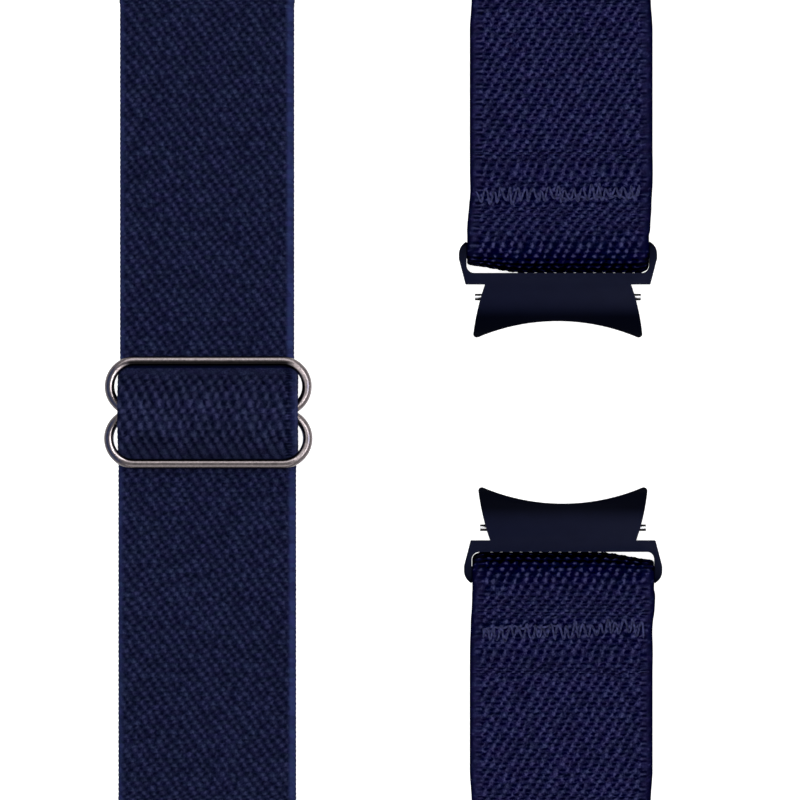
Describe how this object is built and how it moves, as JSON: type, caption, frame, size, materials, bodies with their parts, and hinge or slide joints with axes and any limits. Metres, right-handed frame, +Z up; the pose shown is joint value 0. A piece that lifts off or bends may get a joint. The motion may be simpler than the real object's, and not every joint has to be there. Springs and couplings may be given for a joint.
{
  "type": "elastic watch strap",
  "caption": "Elastic woven nylon watch strap with a sliding wire length adjuster and curved metal end adapters that swivel and take the watch on quick-release spring bars.",
  "frame": {"origin": "bottom centre of the strap as it lies flat, face up", "axes": "+X from the column with the adjuster to the column with the adapters, +Y along both columns to the upper cross row, +Z up out of the strap's face"},
  "size_m": [0.072, 0.161, 0.0065],
  "materials": {
    "left_webbing": "matt woven nylon",
    "right_webbing": "matt woven nylon",
    "thread": "spun polyester",
    "nickel_wire": "polished nickel plate",
    "adapter_finish": "satin navy coating",
    "spring_bar_steel": "polished"
  },
  "bodies": {
    "lower_half": {"lower_column": "left_webbing", "free_tail": "left_webbing", "tail_hem_sewing": "thread", "bottom_left_fold": "left_webbing", "bottom_row": "right_webbing", "bottom_right_fold": "right_webbing", "lower_run": "right_webbing", "lower_end_loop": "right_webbing", "lower_end_sewing": "thread"},
    "upper_half": {"slide_frame": "nickel_wire", "strap_over_slider": "left_webbing", "slider_loop": "left_webbing", "slider_loop_sewing": "thread", "upper_column": "left_webbing", "top_left_fold": "left_webbing", "top_row": "right_webbing", "top_right_fold": "right_webbing", "upper_run": "right_webbing", "upper_end_loop": "right_webbing", "upper_end_sewing": "thread"},
    "upper_adapter": {"upper_adapter": "adapter_finish", "upper_bar_tube": "spring_bar_steel", "upper_bar_spring": "spring_bar_steel"},
    "upper_plunger": {"upper_bar_plunger": "spring_bar_steel", "upper_release_lever": "spring_bar_steel"},
    "lower_adapter": {"lower_adapter": "adapter_finish", "lower_bar_tube": "spring_bar_steel", "lower_bar_spring": "spring_bar_steel"},
    "lower_plunger": {"lower_bar_plunger": "spring_bar_steel", "lower_release_lever": "spring_bar_steel"}
  },
  "joints": [
    {"name": "adjuster_slide", "type": "slide", "parent": "lower_half", "child": "upper_half", "axis": [0, 1, 0], "range_m": [0, 0.036], "deforming": ["lower_column", "free_tail"]},
    {"name": "upper_adapter_swivel", "type": "hinge", "parent": "upper_half", "child": "upper_adapter", "pos_m": [0.0226, 0.01928, 0.00235], "axis": [1, 0, 0], "range_deg": [-80, 80]},
    {"name": "lower_adapter_swivel", "type": "hinge", "parent": "lower_half", "child": "lower_adapter", "pos_m": [0.02326, -0.02248, 0.00235], "axis": [1, 0, 0], "range_deg": [-80, 80]},
    {"name": "upper_tip_release", "type": "slide", "parent": "upper_adapter", "child": "upper_plunger", "axis": [1, 0, 0], "range_m": [0, 0.001], "stiffness_N_per_m": 800, "springref_m": -0.0005, "deforming": ["upper_bar_spring"]},
    {"name": "lower_tip_release", "type": "slide", "parent": "lower_adapter", "child": "lower_plunger", "axis": [-1, 0, 0], "range_m": [0, 0.001], "stiffness_N_per_m": 800, "springref_m": -0.0005, "deforming": ["lower_bar_spring"]}
  ]
}
